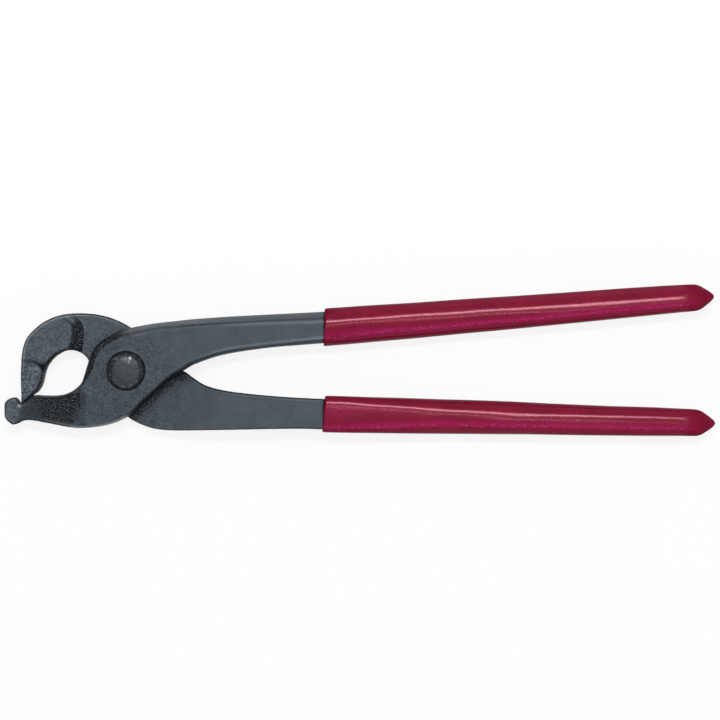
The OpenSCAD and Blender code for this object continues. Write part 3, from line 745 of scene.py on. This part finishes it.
def grip_piece(name, body):
    """A dipped grip: outer skin from the tip to the rolled lip, then the recess and the tang's hole."""
    grip = GRIPS[name]
    length, second_glow = grip["length"], grip["second_glow"]
    angles = (np.arange(GRIP_SIDES) + 0.5) * 2 * math.pi / GRIP_SIDES

    def section(x, wide, thick, front_power, rear_power):
        power = np.where(np.sin(angles) > 0, front_power, rear_power)
        c, s = np.cos(angles), np.sin(angles)
        return np.stack([np.full(GRIP_SIDES, x), wide / 2 * np.sign(c) * np.abs(c) ** (2 / power),
                         thick / 2 * np.sign(s) * np.abs(s) ** (2 / power)], 1)

    def outer(x, share):
        f = min(x / (length - NOSE_LENGTH), 1)
        wide = MOUTH_WIDTH + (END_WIDTH - MOUTH_WIDTH) * f ** 1.5
        thick = MOUTH_THICKNESS + (END_THICKNESS - MOUTH_THICKNESS) * f
        corners = (table(grip[key], x) for key in ("front_corner", "rear_corner"))
        return section(x, wide * share, thick * share, *corners)

    rings = [outer(length - before, nose_share(before)) for before in NOSE_STEPS]
    rings += [outer(x, 1) for x in np.linspace(length - 12, 3, GRIP_RINGS)]
    for turn in np.radians(np.linspace(0, 90, 8)):
        at = LIP_RADIUS * (1 - math.sin(turn)) if turn else 1.6
        rings.append(outer(at, 0.925 + 0.075 * math.cos(turn)))
    rings.append(section(0.12, 13.35, 12.1, 6, 6))
    for x, wide, thick in ((0.5, 12.85, 11.65), (RECESS_DEPTH, 12.8, 11.6), (RECESS_DEPTH + 0.01, 11.7, 10.6),
                           (0.96 * TANG_LENGTH + 1.2, 7.9, 7.2), (TANG_LENGTH + 4.5, 4.8, 4.4)):
        rings.append(section(x, wide, thick, 8, 8))
    rings = np.array(rings) * SIZE
    skin = rings[:len(NOSE_STEPS) + GRIP_RINGS]
    waves = lumps(skin * np.array([0.22, 1, 1]), 4.5, grip["seed"])
    calm = table([(70, 0.013), (105, 0.006)], skin[..., 0] / SIZE)
    skin[..., 1:] *= 1 + (calm * waves)[..., None]

    x, y, z = (rings[..., k] for k in (0, 1, 2))
    run = x / SIZE
    y *= 1 - table(grip["waist"], run) * ease(0.5, -0.5, y / SIZE)
    y *= 1 + table(grip["swell"], run) * ease(-0.5, 0.5, y / SIZE)
    x += grip["lean"] * y * ease(35 * SIZE, 0, x)
    over = ease(0, 2.5, z) * ease(length - 1, length - 9, x / SIZE)
    z -= over * table(grip["front_lean"], x / SIZE) * y

    angle = math.radians(grip["slope"])
    placed = np.stack([grip["mouth"][0] * SIZE + x * math.cos(angle) - y * math.sin(angle),
                       grip["mouth"][1] * SIZE + x * math.sin(angle) + y * math.cos(angle), MID + z], -1)
    faces = ring_faces(len(rings), GRIP_SIDES)
    points = close_end(placed.reshape(-1, 3), faces, 0, GRIP_SIDES)
    points = close_end(points, faces, (len(rings) - 1) * GRIP_SIDES, GRIP_SIDES)
    across = y / np.maximum(0.5 * np.ptp(y, 1)[:, None], 1)
    off_nose = ease(length - 5, length - 14, run)
    front = ease(0, 0.3, z / (6 * SIZE)) * off_nose
    mouth_top = (1 - second_glow) * ease(0.5, 0.7, across) * ease(6, 3, run)
    # Painted light: a painted glow just under the lower grip's highlight near the mouth, a faint painted glow
    # low on the sides, and the painted magenta glow, a painted reflection, along the lower half
    under_light = bell(across, 0.36, 0.12) * table([(0, 0.6), (20, 0.55), (36, 0)], run) * second_glow
    flank = 0.55 * bell(z / SIZE, -3, 1.5) * off_nose
    glow = bell(across, table(grip["glow"], run), table([(0, 0.22), (60, 0.17), (100, 0.2)], run))
    glow *= table([(0, 0.5), (8, 0.65), (20, 1), (100, 1), (135, 0.8)], run)
    # The edge mask's second term darkens the rolled lip at the mouth, as painted shade
    masks = {"glow": flank + front * (under_light + glow),
             "fleck": front * bell(across, table(grip["flecks"], run), 0.085),
             "edge": np.maximum(np.abs(across) * ease(-2.2, -0.8, z / SIZE), 3 * ease(0.8, 0, run)),
             "matte": np.maximum(ease(length - 13.5, length - 9.5, run), 0.7 * mouth_top)
             - 0.04 * ease(70, 125, run) * ease(length - 12, length - 15, run)}
    masks = {key: np.append(values.reshape(-1), [0, 0]) for key, values in masks.items()}
    piece = finish_mesh(name + "_dipped", points, faces, masks, 60)
    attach(piece, body)
    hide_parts(name)
    return piece


# ---------------- materials

def linear(red, green, blue):
    """A colour given as 0 to 255 on screen, as the linear values a shader takes."""
    values = []
    for v in (red, green, blue):
        v /= 255
        values.append(v / 12.92 if v <= 0.04045 else ((v + 0.055) / 1.055) ** 2.4)
    return (*values, 1)


class Nodes:
    """Short names for building one material's node tree."""

    def __init__(self, name):
        self.material = bpy.data.materials.new(name)
        self.material.use_nodes = True
        self.tree = self.material.node_tree
        self.shader = self.tree.nodes["Principled BSDF"]
        self.place = self.add("TexCoord").outputs["Object"]

    def add(self, kind):
        return self.tree.nodes.new("ShaderNode" + kind)

    def link(self, source, target):
        self.tree.links.new(source, target)

    def feed(self, value, socket):
        """Sets a socket to a number or a colour, or links another node's output to it."""
        if isinstance(value, (int, float, tuple)):
            socket.default_value = value
        else:
            self.link(value, socket)

    def give(self, **looks):
        """Feeds the shader's sockets, named with _ for a space."""
        for name, value in looks.items():
            self.feed(value, self.shader.inputs[name.replace("_", " ")])

    def attribute(self, name):
        node = self.add("Attribute")
        node.attribute_name = name
        return node.outputs["Fac"]

    def stretched(self, scale, degrees=0, then=None):
        """Object coordinates, scaled, or turned about the vertical axis and scaled again."""
        node = self.add("Mapping")
        node.inputs["Scale"].default_value = scale
        node.inputs["Rotation"].default_value = (0, 0, math.radians(degrees))
        self.link(self.place, node.inputs["Vector"])
        if then is None:
            return node.outputs["Vector"]
        second = self.add("Mapping")
        second.inputs["Scale"].default_value = then
        self.link(node.outputs["Vector"], second.inputs["Vector"])
        return second.outputs["Vector"]

    def noise(self, width, detail=2, roughness=0.5, where=None):
        """Noise with lumps about width millimetres across."""
        node = self.add("TexNoise")
        node.inputs["Scale"].default_value = 1 / (width * MM)
        node.inputs["Detail"].default_value = detail
        node.inputs["Roughness"].default_value = roughness
        self.link(where or self.place, node.inputs["Vector"])
        return node.outputs["Fac"]

    def ramp(self, value, stops):
        node = self.add("ValToRGB")
        band = node.color_ramp
        while len(band.elements) < len(stops):
            band.elements.new(0.5)
        for element, stop in zip(band.elements, stops):
            element.position, element.color = stop
        self.link(value, node.inputs["Fac"])
        return node.outputs["Color"]

    def mix(self, factor, a, b, blend="MIX"):
        node = self.add("Mix")
        node.data_type = "RGBA"
        node.blend_type = blend
        for value, place in ((factor, 0), (a, 6), (b, 7)):
            self.feed(value, node.inputs[place])
        return node.outputs[2]

    def times(self, colour, factor):
        """A colour times a number."""
        node = self.add("CombineXYZ")
        for socket in node.inputs:
            self.link(factor, socket)
        return self.mix(1, colour, node.outputs[0], "MULTIPLY")

    def math(self, operation, a, b=0, c=0, clamp=False):
        node = self.add("Math")
        node.operation = operation
        node.use_clamp = clamp
        for value, socket in zip((a, b, c), node.inputs):
            self.feed(value, socket)
        return node.outputs[0]

    def centred(self, value):
        """A noise of 0 to 1 as -0.5 to 0.5."""
        return self.math("SUBTRACT", value, 0.5)

    def bump(self, height, strength, distance, normal=None):
        node = self.add("Bump")
        node.inputs["Distance"].default_value = distance * MM
        self.feed(strength, node.inputs["Strength"])
        self.link(height, node.inputs["Height"])
        if normal is not None:
            self.link(normal, node.inputs["Normal"])
        return node.outputs["Normal"]


def grey(value):
    return (value, value, value, 1)


def steel(name, roughness, metallic):
    """Ground steel that turns to black forging scale where the mask says so, under painted shade lines and
    painted highlights.
    """
    n = Nodes(name)
    scale, painted_shade, painted_highlight, tone_and_shade, grit, brush = (n.attribute(key) for key in STEEL_MASKS)
    fine = n.noise(0.7, 3, 0.6)
    cloudy = n.noise(6, 3, 0.55)
    slanting = n.noise(0.55, 2, 0.5, n.stretched((1, 1, 1), 52, (1, 0.25, 1)))
    blotches = n.math("MULTIPLY", n.centred(n.noise(2.4, 2, 0.5)), n.math("MULTIPLY", grit, 0.5))
    grain = n.math("MULTIPLY", n.centred(fine), n.math("MULTIPLY_ADD", grit, 1.5, 0.35))
    grain = n.math("ADD", grain, blotches)
    marks = n.math("MULTIPLY", n.centred(slanting), n.math("MULTIPLY", brush, 1.6))
    level = n.math("MULTIPLY_ADD", n.centred(cloudy), 0.45, n.math("ADD", grain, marks))
    ground = n.ramp(n.math("ADD", level, 0.5), [(0, linear(43, 51, 59)), (1, linear(96, 106, 113))])
    ground = n.times(ground, tone_and_shade)
    speck = n.noise(0.55, 3, 0.75)
    crust = n.ramp(speck, [(0.4, linear(2, 3, 6)), (0.5, linear(16, 21, 27)), (0.6, linear(64, 70, 76)),
                           (0.7, linear(112, 118, 120))])
    uneven = n.math("MULTIPLY", n.math("SUBTRACT", 0.5, speck), 1.6)
    worn = n.math("MULTIPLY", n.math("MULTIPLY_ADD", scale, 1.3, uneven, clamp=True),
                  n.ramp(scale, [(0.05, grey(0)), (0.25, grey(1))]))
    sparkle = n.math("MULTIPLY_ADD", n.math("SUBTRACT", scale, 1, clamp=True), 1.5, 1)
    colour = n.mix(worn, ground, n.times(crust, sparkle))
    # Painted shade lines, then painted highlights, and near-white painted glints where that mask passes 1
    colour = n.mix(painted_shade, colour, linear(11, 14, 18))
    colour = n.mix(n.math("MULTIPLY", painted_highlight, 1, clamp=True), colour, linear(152, 158, 162))
    colour = n.mix(n.math("SUBTRACT", painted_highlight, 1, clamp=True), colour, linear(238, 240, 240))
    n.give(Base_Color=colour, Metallic=metallic, Specular_IOR_Level=0.2)
    rough = n.ramp(scale, [(0, grey(roughness)), (1, grey(roughness + 0.12))])
    n.give(Roughness=n.math("MULTIPLY_ADD", n.centred(fine), 0.2, rough))
    micro = n.bump(fine, n.math("MULTIPLY_ADD", grit, 0.3, 0.1), 0.12)
    n.give(Normal=n.bump(speck, n.math("MULTIPLY", scale, 0.7), 0.25, micro))
    return n.material


def dipped_coat():
    """Glossy crimson dip, with a mottled painted magenta glow, a painted reflection, along the lower half,
    fine flecks in it, and painted shade on the lip at the mouth.
    """
    n = Nodes("crimson_dip")
    glow, fleck, edge, matte = (n.attribute(key) for key in ("glow", "fleck", "edge", "matte"))
    streaks = n.noise(1.1, 3, 0.65, n.stretched((0.4, 1, 1)))
    clouds = n.noise(9, 2, 0.5)
    base = n.ramp(clouds, [(0.3, linear(112, 16, 43)), (0.7, linear(122, 20, 47))])
    base = n.mix(n.ramp(edge, [(0.7, grey(0)), (1, grey(0.6))]), base, linear(106, 14, 38))
    # Near-black painted shade on the rolled lip at the mouth
    base = n.mix(n.math("SUBTRACT", edge, 1.4, clamp=True), base, linear(30, 8, 12))
    patchy = n.math("MULTIPLY", glow, n.ramp(streaks, [(0.32, grey(0.5)), (0.62, grey(1))]))
    colour = n.mix(n.math("MULTIPLY", patchy, 0.9, clamp=True), base, linear(152, 21, 81))
    dashes = n.noise(0.5, 2, 0.65, n.stretched((0.35, 1.2, 1)))
    marks = n.math("MULTIPLY", fleck, n.ramp(dashes, [(0.5, grey(0)), (0.66, grey(0.6))]))
    colour = n.mix(marks, colour, linear(190, 76, 126))
    n.give(Base_Color=colour, Roughness=n.math("MULTIPLY_ADD", matte, 0.33, 0.17))
    gloss = n.ramp(edge, [(0.7, grey(0.27)), (0.85, grey(0.06)), (0.95, grey(0.022)), (1, grey(0.008))])
    dulled = n.math("SUBTRACT", 1, n.math("MULTIPLY", matte, 0.75, clamp=True))
    n.give(Specular_IOR_Level=0.27, IOR=1.5, Specular_Tint=(1, 0.45, 0.52, 1))
    n.give(Specular_IOR_Level=n.math("MULTIPLY", gloss, dulled))
    ripple = n.bump(n.noise(2.2, 2, 0.5, n.stretched((0.4, 1, 1))), 0.08, 0.2)
    n.give(Normal=n.bump(streaks, 0.05, 0.1, ripple))
    return n.material


def floor_material():
    """White to the camera and in reflections, and still shaded where the tool stands on it."""
    n = Nodes("pale_floor")
    pale = n.ramp(n.noise(900), [(0, grey(0.88)), (1, grey(0.9))])
    n.give(Base_Color=pale, Roughness=0.9, Specular_IOR_Level=0)
    paths = n.add("LightPath")
    seen = paths.outputs["Is Camera Ray"]
    for kind in ("Glossy", "Transmission"):
        seen = n.math("MAXIMUM", seen, paths.outputs[f"Is {kind} Ray"])
    glow = n.add("Emission")
    blend = n.add("MixShader")
    n.link(n.math("MULTIPLY", seen, 0.85), blend.inputs["Fac"])
    n.link(n.shader.outputs["BSDF"], blend.inputs[1])
    n.link(glow.outputs["Emission"], blend.inputs[2])
    n.link(blend.outputs["Shader"], n.tree.nodes["Material Output"].inputs["Surface"])
    return n.material


# ---------------- studio

def floor():
    """A wide round floor that sweeps up to a low wall all round."""
    below_tool = 0.0002
    level, flat, wall = cad_low.z - below_tool, 2.2, 1.3
    profile = [(r, 0) for r in (0.4, 0.9, 1.5, flat)]
    for a in np.linspace(0.15, math.pi / 2, 9):
        profile.append((flat + wall * math.sin(a), wall * (1 - math.cos(a))))
    points, faces = turned([(0, 0), *profile], 64)
    points[:, 2] += level
    plane = finish_mesh("floor", points / MM, faces, {})
    plane.data.materials.append(floor_material())


def softbox(name, off_axis, distance, width, depth, level):
    """An area lamp that adds about level to a white surface facing up at the tool's middle."""
    lamp = bpy.data.lights.new(name, "AREA")
    lamp.shape = "RECTANGLE"
    lamp.size, lamp.size_y = width, depth
    a = math.radians(off_axis)
    towards = Vector((0, math.sin(a), math.cos(a)))
    lamp.energy = level * math.pi * math.pi * distance ** 2 / math.cos(a)
    piece = in_scene(name, lamp)
    piece.location = (cad_low + cad_high) / 2 + towards * distance
    piece.rotation_mode = "QUATERNION"
    piece.rotation_quaternion = towards.to_track_quat("Z", "X")


def studio():
    floor()
    softbox("key_strip", 20, 1.5, 0.16, 0.57, 0.48)
    softbox("second_strip", 5, 1.8, 0.04, 0.5, 0.055)
    world = bpy.data.worlds.new("studio")
    bpy.context.scene.world = world
    world.use_nodes = True
    background = world.node_tree.nodes["Background"]
    background.inputs["Color"].default_value = (1, 1, 1, 1)
    background.inputs["Strength"].default_value = 0.6
    bpy.context.scene.view_settings.view_transform = "Standard"


def camera():
    """Straight above the tool through a long lens, with the tool's length across the frame."""
    lens, sensor, margin, rise = 200, 36, 1.0153, 0.0002
    wide = margin * (cad_high.x - cad_low.x)
    centre = (cad_low + cad_high) / 2
    data = bpy.data.cameras.new("overhead")
    data.lens, data.sensor_width = lens, sensor
    data.clip_end = 10
    piece = in_scene("overhead", data)
    piece.location = (centre.x, centre.y + rise, MID * MM + wide * lens / sensor)
    bpy.context.scene.camera = piece


# ---------------- the scene

camera()
lever_steel = steel("lever_steel", 0.5, 0.45)
rivet_steel = steel("rivet_steel", 0.42, 0.12)
coat = dipped_coat()
front_lever_piece().data.materials.append(lever_steel)
back_lever_piece().data.materials.append(lever_steel)
rivet_piece().data.materials.append(rivet_steel)
grip_piece("upper_grip", "front_half").data.materials.append(coat)
grip_piece("lower_grip", "back_half").data.materials.append(coat)
studio()
